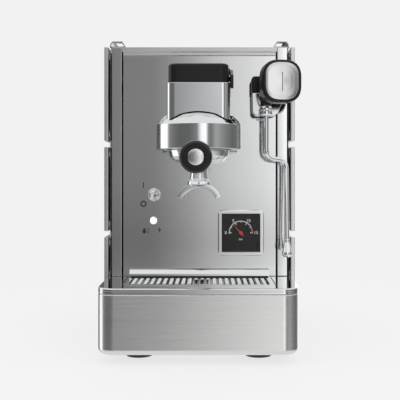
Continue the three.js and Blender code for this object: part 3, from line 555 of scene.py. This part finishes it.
def tray():
    deck = bmesh.new()
    _, rim, _ = raised(deck, outline(deck, base_outline(0, TRAY_BACK, 0), 12), 87, 90)
    eased(deck, in_front(rim), 1.8, 5)
    groove, skirt, basin = bmesh.new(), bmesh.new(), bmesh.new()
    raised(groove, outline(groove, rect(-118.1, 118.1, 0.9, TRAY_BACK, 19, 19, 0, 0), 12), 86, 87.5)
    low, high, _ = raised(skirt, outline(skirt, base_outline(0, TRAY_BACK, 0), 12), 83, 86.5)
    eased(skirt, in_front([*low, *high]), 0.5, 2)
    block(basin, -91.1, 91.1, 31.4, 107.6, 44, 84)
    well, seat, notch = bmesh.new(), bmesh.new(), bmesh.new()
    raised(well, outline(well, rect(-89.5, 89.5, 33, 106, 4)), 45.6, 92)
    raised(seat, outline(seat, rect(-93.5, 93.5, 29, 110, 2)), 87.7, 92)
    raised(notch, outline(notch, [(-14, 90), (0, 87.4, 13), (14, 90), (14, 93), (-14, 93)]), -9, 4)
    bmesh.ops.rotate(notch, verts=notch.verts, matrix=Matrix.Rotation(math.radians(90), 3, "X"))
    bm = worked(solid(deck), ("UNION", solid(groove)), ("UNION", solid(skirt)), ("UNION", solid(basin)),
                ("DIFFERENCE", solid(well)), ("DIFFERENCE", solid(seat)), ("DIFFERENCE", solid(notch)))
    finished("tray_pan", bm, "drip_tray", deck_steel, "drip_tray")

    plate, slots = bmesh.new(), bmesh.new()
    block(plate, -92.6, 92.6, 29.8, 109.4, 88, 90, 0.5)
    slot_count, pitch = 23, 7.7
    for i in range(slot_count):
        x = (i - slot_count // 2) * pitch
        raised(slots, outline(slots, rect(x - 1.85, x + 1.85, 34.8, 103.4, 1.8), 4), 86, 92)
    bm = worked(solid(plate), ("DIFFERENCE", solid(slots)))
    before = set(bm.verts)
    raised(bm, outline(bm, [(107.9, 88.2), (109.4, 88.2), (109.4, 92.6, 2), (111.4, 99.6, 0.6), (109.9, 99.6,
                                                                                                 0.6),
                            (107.9, 92.6, 2)], 4), -91.4, 91.4)
    across = Matrix(((0, 0, 1, 0), (1, 0, 0, 0), (0, 1, 0, 0), (0, 0, 0, 1)))
    bmesh.ops.transform(bm, matrix=across, verts=[v for v in bm.verts if v not in before])
    finished("slotted_grid", bm, "drip_grid", mirror, "drip_grid")
    # A thin strip in the dark rubber finish along the foot of the grid's raised rear edge: a painted shadow line, for
    # the shade that falls under that edge.
    bm = bmesh.new()
    block(bm, -90, 90, 106.7, 107.88, 90.02, 91.5, 0.3)
    finished("grid_painted_shadow_strip", bm, "drip_grid", rubber)


def shell():
    edged("left_cup_rail", rail_steel, 0.5, 3)
    edged("right_cup_rail", rail_steel, 0.5, 3)
    edged("front_panel", mirror, 0.35)
    edged("left_pillar", mirror, 0.7)
    edged("right_pillar", mirror, 0.7)
    # The side walls take the lightened steel: a painted highlight on their front edges.
    edged("left_side_wall", wall_steel_painted_bright, 0.6)
    edged("right_side_wall", wall_steel_painted_bright, 0.6)
    for word in ("left", "right"):
        for level in ("lower", "middle", "upper"):
            edged(f"{word}_{level}_side_plate", plate_steel, 0.8, 3)
    edged("top_cover", top_steel, 2.2, 5)
    edged("cup_tray", mirror, 0.4)
    edged("rear_panel", sheet, 0.3)
    edged("chassis", sheet, 0.3)
    edged("tank_lid", top_steel, 1.2, 3)
    rear_screws = [(side * x, z) for x, z in ((108, 98), (108, 238), (108, 377), (66, 377)) for _,
                   side in SIDES]
    for i, (x, z) in enumerate(rear_screws):
        bm = bmesh.new()
        turned(bm, [(0, 0), (3.4, 0), (3.4, 0.7), (2.6, 1.6), (1.8, 1.9), (1.6, 1.9), (1.4, 0.9), (0, 0.8)],
               24,
               None, 0.1, 2)
        spot = Matrix.Translation((x, 379.5, z)) @ Matrix.Rotation(math.radians(-90), 4, "X")
        finished(f"rear_screw_{i + 1}", bm, "shell", satin_chrome, turn=spot)
    for word, side in SIDES:
        for level, rows in (("lower", (92, 133)), ("middle", (158, 251)), ("upper", (277, 380))):
            bm = bmesh.new()
            for z in rows:
                for y in (130, 362):
                    outwards = Matrix.Rotation(side * math.radians(90), 4, "Y")
                    spot = Matrix.Translation((side * 118.82, y, z)) @ outwards
                    turned(bm, [(0, 0), (7, 0), (7, 0.62), (0, 0.62)], 24, spot, 0.15, 2)
            finished(f"{word}_{level}_magnets", bm, "shell", satin_chrome)


# ---- brewing group ----
DOME = [(52.5, 284), (49, 290), (44, 295), (38, 298.5), (28, 300.8), (14, 301.6)]


def group():
    bm = bmesh.new()
    turned(bm, [(0, 272), (42, 272), (42, 254), (52.5, 254), *DOME, (0, 301.7)], 96, upright(0, GROUP_Y),
           1.0, 3)
    finished("bell_ring", bm, "shell", satin_chrome, "group_bell")

    body, hollow, neck = bmesh.new(), bmesh.new(), bmesh.new()
    _, high, _ = raised(body, outline(body, rect(-38, 38, 18, 112, 10, 10, 3, 3), 10), 284, 333)
    eased(body, high, 0.8, 2)
    turned(hollow, [(0, 270), (53.6, 270), *((r + 1.1, z + 0.6) for r, z in DOME), (0, 302.6)], 96,
           upright(0, GROUP_Y))
    block(neck, -22, 22, 108, 134, 300, 326)
    bm = worked(solid(body), ("UNION", solid(neck)), ("DIFFERENCE", solid(hollow)))
    arch = [e for e in sharp_edges(bm, 30) if all(284.2 < v.co.z < 304 and v.co.y < 40 for v in e.verts)]
    eased(bm, arch, 1.6, 3)
    finished("group_casting", bm, "shell", satin_chrome, "group_block")

    bm = bmesh.new()
    low, high, _ = raised(bm, outline(bm, rect(-36.2, 36.2, 19.5, 110, 10, 10, 3, 3), 10), 333.3, 356)
    eased(bm, high, 4.4, 6)
    eased(bm, low, 0.5, 2)
    block(bm, 35, 38.2, 42, 76, 346, 353, 1.2, 3)
    finished("cap_moulding", bm, "shell", cap_black, "group_cap")
    edged("brew_lever", cap_black, 0.9, 3)
    edged("group_gasket", rubber, 0.3)

    bm = bmesh.new()
    turned(bm, [(0, 263.3), (22, 263.4), (28, 265), (28.8, 266.4), (28.8, 271.7), (0, 271.7)], 64,
           upright(0, GROUP_Y), 0.5, 3)
    finished("shower_plate", bm, "shell", shower_steel, "shower_screen")
    bm = bmesh.new()
    turned(bm, [(0, 262.9), (3, 262.4), (4.6, 262.7), (5, 263.5), (0, 263.6)], 24, upright(0, GROUP_Y), 0.2,
           2)
    finished("shower_screw", bm, "shell", satin_chrome)


def portafilter():
    along_handle = forward(0, GROUP_Y, 248, 2.5)
    bm = bmesh.new()
    turned(bm, [(4, 239.5), (24, 239.5), (32, 241.5), (36, 245.5), (37.6, 251.5), (37.2, 255.6), (36, 256),
                (36, 261.6), (33, 261.6), (33, 248.5), (28, 243.5), (4, 243), (4, 239.5)], 80, upright(0,
                                                                                                       GROUP_Y), 0.6, 3)
    for _, side in SIDES:
        block(bm, *sorted((side * 35, side * 40.6)), 48, 68, 256.6, 260.6, 0.8, 3)
    turned(bm, [(0, 34), (7, 34.5), (7, 54), (9.5, 55.5), (11.5, 60), (11.5, 63.6), (0, 63.6)], 48,
           along_handle, 0.7)
    finished("portafilter_bowl", bm, "portafilter", chrome, "portafilter_body")

    bm = bmesh.new()
    tip = 207.6
    turned(bm, [(0, 63.9), (12, 63.9), (12.6, 79.6), (11.8, 108), (12.2, 135), (13.4, tip - 45),
                (15.8, tip - 16), (16.4, tip - 7), (15.6, tip - 2), (13.6, tip), (9.4, tip), (9, tip - 0.6),
                (9, tip - 3), (0, tip - 3)], 64, along_handle, 0.5, 3)
    finished("handle_grip", bm, "portafilter", gloss_black, "portafilter_handle")
    bm = bmesh.new()
    turned(bm, [(0, 61.8), (12.4, 61.8), (12.7, 62.6), (12.7, 64.6), (12.2, 65.4), (0, 65.4)], 48,
           along_handle, 0.2, 2)
    finished("handle_ferrule", bm, "portafilter", satin_chrome)
    bm = bmesh.new()
    turned(bm, [(0, tip - 2.7), (8.7, tip - 2.7), (8.7, tip - 1.2), (7.6, tip - 0.5), (5.4, tip - 0.1),
                (2.6, tip + 0.1), (0, tip + 0.15)], 48, along_handle, 0.25, 2)
    finished("end_cap_disc", bm, "portafilter", spun_steel, "handle_end_disc")

    bm = bmesh.new()
    section = bm.faces.new([bm.verts.new(p) for p in [
        (23.4, -7.5, 0), (30, -7.5, 0), (30, 7.5, 0), (23.4, 7.5, 0),
        (23.4, 6, 0), (26, 4.6, 0), (26, -4.6, 0), (23.4, -6, 0)]])
    bmesh.ops.rotate(bm, verts=bm.verts, matrix=Matrix.Rotation(math.radians(-25), 3, "Y"))
    bmesh.ops.spin(bm, geom=[section, *section.edges, *section.verts], cent=(0, 0, 0), axis=(0, 1, 0),
                   angle=math.radians(-130), steps=30)
    bmesh.ops.recalc_face_normals(bm, faces=bm.faces)
    eased(bm, sharp_edges(bm, 60), 0.6, 2)
    bmesh.ops.translate(bm, verts=bm.verts, vec=(0, GROUP_Y, 183.5))
    turned(bm, [(0, 209), (12, 209), (14.4, 211.2), (13.6, 214.6), (11.2, 218), (10.2, 225), (10.2, 233),
                (11.2, 234.4), (11.2, 239.2), (0, 239.2)], 48, upright(0, GROUP_Y), 0.5, 3)
    finished("twin_spout", bm, "portafilter", chrome, "portafilter_spout")

    bm = bmesh.new()
    turned(bm, [(0, 245.5), (28, 245.5), (30.5, 247), (31.6, 252), (32, 261.9), (35.6, 261.9), (35.6, 262.9),
                (31, 262.9),
                (30.8, 252), (29.8, 247.8), (27.6, 246.5), (0, 246.5)], 64, upright(0, GROUP_Y), 0.3, 2)
    finished("basket_cup", bm, "portafilter", basket_steel, "filter_basket")


# ---- controls ----
def lettered(name, text, size, x, z, face):
    """White printed characters on a face that looks forward, centred on (x, z)."""
    line = bpy.data.curves.new(name, "FONT")
    line.body = text
    line.size = size
    line.align_x, line.align_y = "CENTER", "CENTER"
    line.extrude = 0.02
    holder = bpy.data.objects.new("holder", line)
    scene.collection.objects.link(holder)
    bpy.context.view_layer.update()
    mesh = bpy.data.meshes.new_from_object(holder.evaluated_get(bpy.context.evaluated_depsgraph_get()))
    bpy.data.objects.remove(holder)
    mesh.transform(TO_FRAME @ forward(x, face - line.extrude, z))
    mesh.name = name + "_letters"
    return shown(name, mesh, "shell", white_print)


PRINT_DEPTH = 0.04


def printed(bm, corners, x, z, face, depth=PRINT_DEPTH):
    """A flat printed shape from corners (across, up, radius), standing a hair off a face that looks forward."""
    before = set(bm.verts)
    raised(bm, outline(bm, corners, 5), 0, depth)
    fresh = [v for v in bm.verts if v not in before]
    bmesh.ops.transform(bm, matrix=forward(x, face, z), verts=fresh)


def ring_mark(bm, inner, outer, start, sweep, x, z, face, steps=48):
    """A printed arc: start and sweep are in degrees clockwise from straight up, seen from the front."""
    before = set(bm.verts)
    section = bm.faces.new([bm.verts.new(p) for p in [
        (0, 0, inner), (0, 0, outer), (0, -PRINT_DEPTH, outer), (0, -PRINT_DEPTH, inner)]])
    bmesh.ops.rotate(bm, verts=section.verts, matrix=Matrix.Rotation(math.radians(start), 3, "Y"))
    bmesh.ops.spin(bm, geom=[section, *section.edges, *section.verts], cent=(0, 0, 0), axis=(0, 1, 0),
                   angle=math.radians(sweep), steps=steps, use_merge=abs(sweep) == 360)
    bmesh.ops.translate(bm, verts=[v for v in bm.verts if v not in before], vec=(x, face, z))


def power_switch():
    x, z = -59.5, 197.3
    bm = bmesh.new()
    turned(bm, [(3.5, -4.8), (5.9, -4.8), (5.9, 0.02), (8.6, 0.02), (8.6, 1.9), (7.9, 2.6), (7.3, 2.6),
                (7.1, 2.2), (6.5, 2.2), (6.3, 2.9), (5.6, 3.4), (5.4, 5.1), (4.6, 5.4), (3.5, 5.1),
                (3.5, -4.8)], 56, forward(x, PANEL_FACE, z), 0.18, 2)
    block(bm, x - 7.8, x + 7.8, 120.6, 138, z - 11.8, z + 11.8, 0.8)
    finished("switch_nut", bm, "shell", chrome, "toggle_switch")
    bm = bmesh.new()
    turned(bm, [(0, -4), (1.7, -3), (1.7, 5), (2.1, 10), (2.7, 15), (2.4, 17), (1.4, 18.1), (0, 18.3)], 32,
           forward(x, PANEL_FACE, z, -12), 0.3, 3)
    finished("switch_bat", bm, "toggle_bat", chrome, "toggle_bat")

    x, z = -60.5, 163.3
    bm = bmesh.new()
    turned(bm, [(0, -11), (3.1, -11), (3.1, 0.4), (3.9, 0.4), (3.9, 1.5), (3.2, 2.2), (1.8, 2.7), (0, 2.8)],
           32,
           forward(x, PANEL_FACE, z), 0.2, 2)
    finished("lamp_lens", bm, "shell", lens, "indicator_lamp")
    bm = bmesh.new()
    turned(bm, [(4, 0.02), (5.4, 0.02), (5.2, 1.2), (4.6, 1.6), (4, 1.3), (4, 0.02)], 40, forward(x,
                                                                                                  PANEL_FACE,
                                                                                                  z), 0.12, 2)
    finished("lamp_ring", bm, "shell", chrome)

    bm = bmesh.new()
    printed(bm, rect(-0.6, 0.6, -4, 4, 0.3), -73.8, 209.6, MARK_FACE)
    ring_mark(bm, 2.3, 4.15, 0, 360, -73.8, 185.2, MARK_FACE)
    printed(bm, [(0, 4.2, 0.2), (-2.6, -0.6, 1.4), (-2.2, -3.4, 1.6), (0, -4.2, 0.8), (2.2, -3.4, 1.6),
                 (2.6, -0.6, 1.4)], -72.6, 150.2, MARK_FACE)
    for i in range(4):
        printed(bm, rect(-1.3, 1.3, -0.4, 0.4), -67.4, 147.2 + 2 * i, MARK_FACE)
    printed(bm, [(0.9, 4.4), (-2.4, -0.5), (-0.3, -0.5), (-1.1, -4.4), (2.4, 0.8), (0.3, 0.8)], -52.6, 150.8,
            MARK_FACE)
    finished("panel_marks", bm, "shell", dark_print_and_hole_shade)


def gauge():
    x, z, half, inner = 54.4, 147.2, 30.25, 25.5
    rim, window = bmesh.new(), bmesh.new()
    _, high, _ = raised(rim, outline(rim, rect(-half, half, -half, half, 6.5), 8), 0.3, 4)
    eased(rim, high, 1.5, 4)
    raised(window, outline(window, rect(-inner, inner, -inner, inner, 1.2), 4), -1, 6)
    bm = worked(solid(rim), ("DIFFERENCE", solid(window)))
    finished("gauge_frame", bm, "shell", chrome, "gauge_bezel", turn=forward(x, PANEL_FACE, z))
    edged("gauge_body", dial_black, 0.25)
    edged("gauge_glass", glass, 0)

    face = 114.58
    bm = bmesh.new()
    ring_mark(bm, 15.2, 15.9, -96, 156, x, z, face)
    for i in range(31):
        angle = -90 + 6 * i
        length = 3.4 if i % 10 == 0 else 2.2 if i % 5 == 0 else 1.2
        width = 0.45 if i % 5 == 0 else 0.22
        before = set(bm.verts)
        printed(bm, rect(-width, width, 15.6 - length, 15.6), 0, 0, 0)
        spot = Matrix.Translation((x, face, z)) @ Matrix.Rotation(math.radians(angle), 4, "Y")
        bmesh.ops.transform(bm, matrix=spot, verts=[v for v in bm.verts if v not in before])
    finished("dial_scale", bm, "shell", white_print)
    bm = bmesh.new()
    ring_mark(bm, 15.1, 16, 60, 36, x, z, face, 16)
    finished("dial_red_zone", bm, "shell", red_print)
    for angle, text in ((-90, "0"), (-30, "5"), (30, "10"), (90, "15")):
        turn = math.radians(angle)
        lettered("dial_number_" + text, text, 5.8, x + 19.9 * math.sin(turn), z + 18.24 * math.cos(turn),
                 face)
    lettered("dial_unit", "bar", 3.6, x, z - 8.5, face)

    bm = bmesh.new()
    printed(bm, [(-0.75, -5, 0.2), (0.75, -5, 0.2), (0.3, 15), (-0.3, 15)], 0, 0, 0.2, 0.4)
    turned(bm, [(0, -0.6), (2.4, -0.6), (2.4, 0.5), (1.9, 0.7), (0, 0.75)], 32, forward(0, -0.15, 0), 0.12, 2)
    finished("needle_pointer", bm, "gauge_needle", red_print, "gauge_needle",
             turn=Matrix.Translation((x, 113.85, z)) @ Matrix.Rotation(math.radians(-42), 4, "Y"))


# ---- steam knob, valve and wand ----
def steam():
    knob_turn = Matrix.Rotation(math.radians(7), 4, "Z") @ Matrix.Rotation(math.radians(90), 4, "X")
    place = Matrix.Translation((101, 30, 336.2)) @ knob_turn
    bm = bmesh.new()
    low, high, top = raised(bm, outline(bm, rect(-24.2, 24.2, -26, 26, 22), 12, 0.58), -24, -0.9)
    bmesh.ops.inset_region(bm, faces=[top], thickness=3.4, use_even_offset=True)
    made = bmesh.ops.extrude_face_region(bm, geom=[top])["geom"]
    bmesh.ops.translate(bm, verts=[g for g in made if isinstance(g, bmesh.types.BMVert)], vec=(0, 0, -1.8))
    eased(bm, high, 2.8, 5)
    eased(bm, low, 2.6, 4)
    raised(bm, outline(bm, rect(-20.5, 20.5, -22.9, 22.9, 18), 12, 0.58), -30, -23)
    finished("knob_grip", bm, "steam_knob", cap_black, "steam_knob", turn=place)
    bm = bmesh.new()
    _, _, top = raised(bm, outline(bm, rect(-20.35, 20.35, -22.55, 22.55, 19), 12, 0.58), -2.3, -0.5)
    for share, rise in ((0.975, 0.4), (0.9, 0.36), (0.8, 0.32), (0.72, 0.2), (0.6, 0.14), (0.4, 0.1), (0.2,
                                                                                                       0.03)):
        top = grown(bm, top, share, rise)
    finished("knob_plate", bm, "steam_knob", dial_steel, "steam_knob_face", turn=place)
    bm = bmesh.new()
    block(bm, -0.4, 0.4, -12.2, 10.4, 0.6, 1.2, 0.1)
    finished("knob_pointer", bm, "steam_knob", dark_print_and_hole_shade, turn=place)

    body = bmesh.new()
    corners = [(68, 299, 6), (100, 299, 6), (110, 327.6, 1.5), (67.4, 327.6, 1.5)]
    _, high, _ = raised(body, outline(body, corners, 8), -104, -84)
    eased(body, high, 1.4, 3)
    bmesh.ops.rotate(body, verts=body.verts, matrix=Matrix.Rotation(math.radians(90), 3, "X"))
    turned(body, [(0, -26), (12.6, -26), (13, -25), (13, -12), (12, -11.7), (9.6, -11.7), (9.6, 15), (0,
                                                                                                      15)],
                                                                                                      56,
           forward(84, 90.3, 318), 0.5)
    turned(body, [(0, -64), (8, -64), (8.5, -63), (8.5, -39), (8, -38), (5.4, -38), (5.4, -30.6), (4, -30.2),
                  (4, -18.3),
                  (0, -18.3)], 40, place, 0.4)
    turned(body, [(0, 326.6), (6.2, 326.6), (6.2, 309.2), (0, 309.2)], 40, upright(WAND_X, WAND_Y), 0.4)
    block(body, 79, 90, 72, 90, 314, 328, 2.5, 4)
    finished("valve_body", body, "shell", satin_chrome, "steam_valve")
    cover = bmesh.new()
    corners = [(67, 328, 1.5), (110, 328, 1.5), (110, 349, 4), (67, 349, 4)]
    _, high, _ = raised(cover, outline(cover, corners, 6), -103.8, -84)
    eased(cover, high, 1.2, 3)
    bmesh.ops.rotate(cover, verts=cover.verts, matrix=Matrix.Rotation(math.radians(90), 3, "X"))
    finished("valve_cover", cover, "shell", cap_black)
    bm = bmesh.new()
    turned(bm, [(6.25, 310), (7, 310), (7.2, 311), (6.9, 317), (7.3, 318), (7.3, 325.6), (6.8, 326.2), (6.25,
                                                                                                        326.2),
                (6.25, 310)], 40, upright(WAND_X, WAND_Y), 0.25, 2)
    finished("wand_seal", bm, "shell", black)
    bm = bmesh.new()
    turned(bm, [(5.7, 297.6), (6.8, 297.6), (8, 299.4), (8, 303), (7.5, 303.5), (7.5, 304.2), (8, 304.7),
                (8, 307.2), (7, 308.9), (5.8, 308.9), (5.8, 301.5), (5.1, 299.2), (5.7, 297.6)], 48,
                upright(WAND_X, WAND_Y), 0.2, 2)
    finished("ball_nut", bm, "wand_nut", chrome, "wand_nut")

    path = [(WAND_X, WAND_Y, 302), (WAND_X, 75, 243.5), (110.5, 83, 242.5), (110, 66, 141.6)]
    tube("wand_tube", path, 3.3, 13, "steam_wand", chrome, "steam_wand", sides=6)
    bm = bmesh.new()
    turned(bm, [(0, -5.4), (2.1, -5), (4, -3.7), (5.1, -1.8), (5.4, 0), (5.1, 1.8), (4, 3.7), (2.1, 5), (0,
                                                                                                         5.4)], 32,
           upright(WAND_X, WAND_Y, 303))
    finished("wand_ball", bm, "steam_wand", chrome)
    along = (Vector(path[3]) - Vector(path[2])).normalized()
    aim = Matrix.Translation(path[3]) @ UP.rotation_difference(along).to_matrix().to_4x4()
    bm = bmesh.new()
    turned(bm, [(0, -0.6), (3.6, -0.6), (3.9, 0), (3.9, 2.4), (3.6, 3), (4.2, 6), (5.4, 11.5), (6.1, 16),
                (6, 18.6), (5, 20.6), (3, 21.7), (0, 22)], 40, aim, 0.3, 3)
    finished("wand_nozzle", bm, "steam_wand", chrome, "wand_tip")
    # Four dark discs at the nozzle's tip stand for its steam holes: painted shade, for the shade inside each hole.
    bm = bmesh.new()
    for i in range(4):
        slant = Matrix.Translation((3.4, 0, 21.1)) @ Matrix.Rotation(0.55, 4, "Y")
        hole = Matrix.Rotation(i * math.pi / 2, 4, "Z") @ slant
        turned(bm, [(0, 0), (0.75, 0), (0.7, 0.5), (0, 0.5)], 12, aim @ hole)
    finished("nozzle_holes_painted_shade", bm, "steam_wand", dark_print_and_hole_shade)


# ---- inside ----
def inside():
    edged("water_tank", tank_plastic, 0.6)
    edged("boiler", brass, 0.4, sharp=30)
    edged("heating_element", brass, 0.4, sharp=30)
    edged("safety_valve", brass, 0.4, sharp=30)
    edged("solenoid_valve", brass, 0.8, sharp=30)
    edged("pump", pump_grey, 0.8, sharp=30)
    edged("control_box", black, 1.2)
    edged("mains_inlet", black, 0.6)
    tube("feed_tube", [(62, 157.7, 114), (62, 140, 114), (-17, 140, 114), (-17, 140, 179.7), (-17, 162,
                                                                                              179.7),
                       (-17, 162, 195.7)], 2.6, 7, "shell", copper, "feed_pipe", sides=5)
    tube("steam_tube", [(5, 168, 321.3), (5, 168, 338), (84, 160, 340), (84, 150, 318), (84, 132.4, 318)],
         2.6, 7, "shell",
         copper, "steam_pipe", sides=5)
    tube("suction_tube", [(62, 262.3, 114), (62, 320, 114), (62, 320, 149.7)], 4, 12, "shell", silicone,
         "suction_hose", sides=5)


base()
tray()
shell()
group()
portafilter()
power_switch()
gauge()
steam()
inside()


# ---- studio ----
PALE = 0.887  # the backdrop and the far floor
BRIGHTEST = 1.5  # the walls' brightness at a stop of 1


def studio():
    world = bpy.data.worlds.new("studio")
    world.use_nodes = True
    scene.world = world
    tree = Tree(world.node_tree)
    direction = tree.node("ShaderNodeTexCoord", out="Generated")
    split = tree.node("ShaderNodeSeparateXYZ", None, {0: direction}, out="X")
    across, along = split, Value(tree, split.socket.node.outputs["Y"])
    height = Value(tree, split.socket.node.outputs["Z"])
    bearing = tree.node("ShaderNodeMath", {"operation": "ARCTAN2"}, {0: across, 1: along * -1.0})
    turn = bearing / (2 * math.pi) + 0.5
    stops = [(-180, 0.12), (-128, 0.12), (-121, 1.4), (-94, 1.4), (-88, 0.3), (-72, 0.2), (-52, 0.14),
             (-24, 0.15), (-14, 0.2), (-7, 0.235), (-4.3, 0.24), (-2, 0.38), (-0.8, 0.5), (0.6, 0.66),
             (2.1, 0.76), (4, 0.88), (7, 1.2), (20, 1.35), (25, 0.26), (34, 0.2), (48, 0.44), (58, 0.36),
             (78, 0.24), (104, 0.15), (130, 0.2), (138, 1.2), (180,
                                                               1.3)]  # degrees from the front, brightness
    lift = tree.ramp(height + 0.5, [(0.3, 1.0), (0.36, 0.95), (0.42, 0.78), (0.5, 1.0), (0.6, 1.06)])
    walls = tree.node("ShaderNodeVectorMath", {"operation": "SCALE"},
                      {0: tree.ramp(turn, [((a + 180) / 360, v / BRIGHTEST) for a, v in stops]),
                       "Scale": lift * BRIGHTEST})
    ceiling = tree.ramp(height, [(0.22, 0.0), (0.38, 1.0)])
    below = tree.ramp(height * -1.0, [(0.3, 0.0), (0.5, 1.0)])
    room = tree.mix(ceiling, tree.mix(below, walls, grey(0.85)), grey(0.95))
    seen = tree.node("ShaderNodeLightPath", out="Is Camera Ray")
    colour = tree.mix(seen, room, grey(PALE))
    tree.feed(world.node_tree.nodes["Background"].inputs["Color"], colour)

    bm = bmesh.new()
    bmesh.ops.create_circle(bm, cap_ends=True, radius=30.0, segments=64)
    mesh = bpy.data.meshes.new("floor")
    bm.to_mesh(mesh)
    bm.free()
    floor = bpy.data.objects.new("floor", mesh)
    scene.collection.objects.link(floor)
    paint = Finish("floor_paint", None, 0.85, Roughness=0.9, Specular_IOR_Level=0.0)
    where = paint.node("ShaderNodeTexCoord", out="Object")
    away = paint.node("ShaderNodeVectorMath", {"operation": "LENGTH"}, {0: where}, out="Value")
    far = paint.ramp(away / 2.0, [(0.05, 0.8), (0.4, 1.0)])
    plain = paint.node("ShaderNodeEmission", None, {"Color": grey(PALE)})
    paint.blended(far, paint.lit, plain)
    mesh.materials.append(paint.material)
    floor.visible_glossy = False

    for name, place, aim, size, power in (
            ("key_right", (1.3, -1.5, 1.5), (0, 0, 0.2), (0.9, 0.9), 9),
            ("fill_left", (-1.6, -1.2, 1.2), (0, 0, 0.2), (1.0, 1.0), 5),
            ("top", (0, -0.1, 2.2), (0, 0, 0), (1.8, 1.8), 12)):
        light = bpy.data.lights.new(name, "AREA")
        light.shape = "RECTANGLE"
        light.size, light.size_y = size
        light.energy = power
        lamp = bpy.data.objects.new(name, light)
        lamp.location = place
        lamp.rotation_euler = (Vector(place) - Vector(aim)).to_track_quat("Z", "Y").to_euler()
        lamp.visible_glossy = False
        scene.collection.objects.link(lamp)


studio()
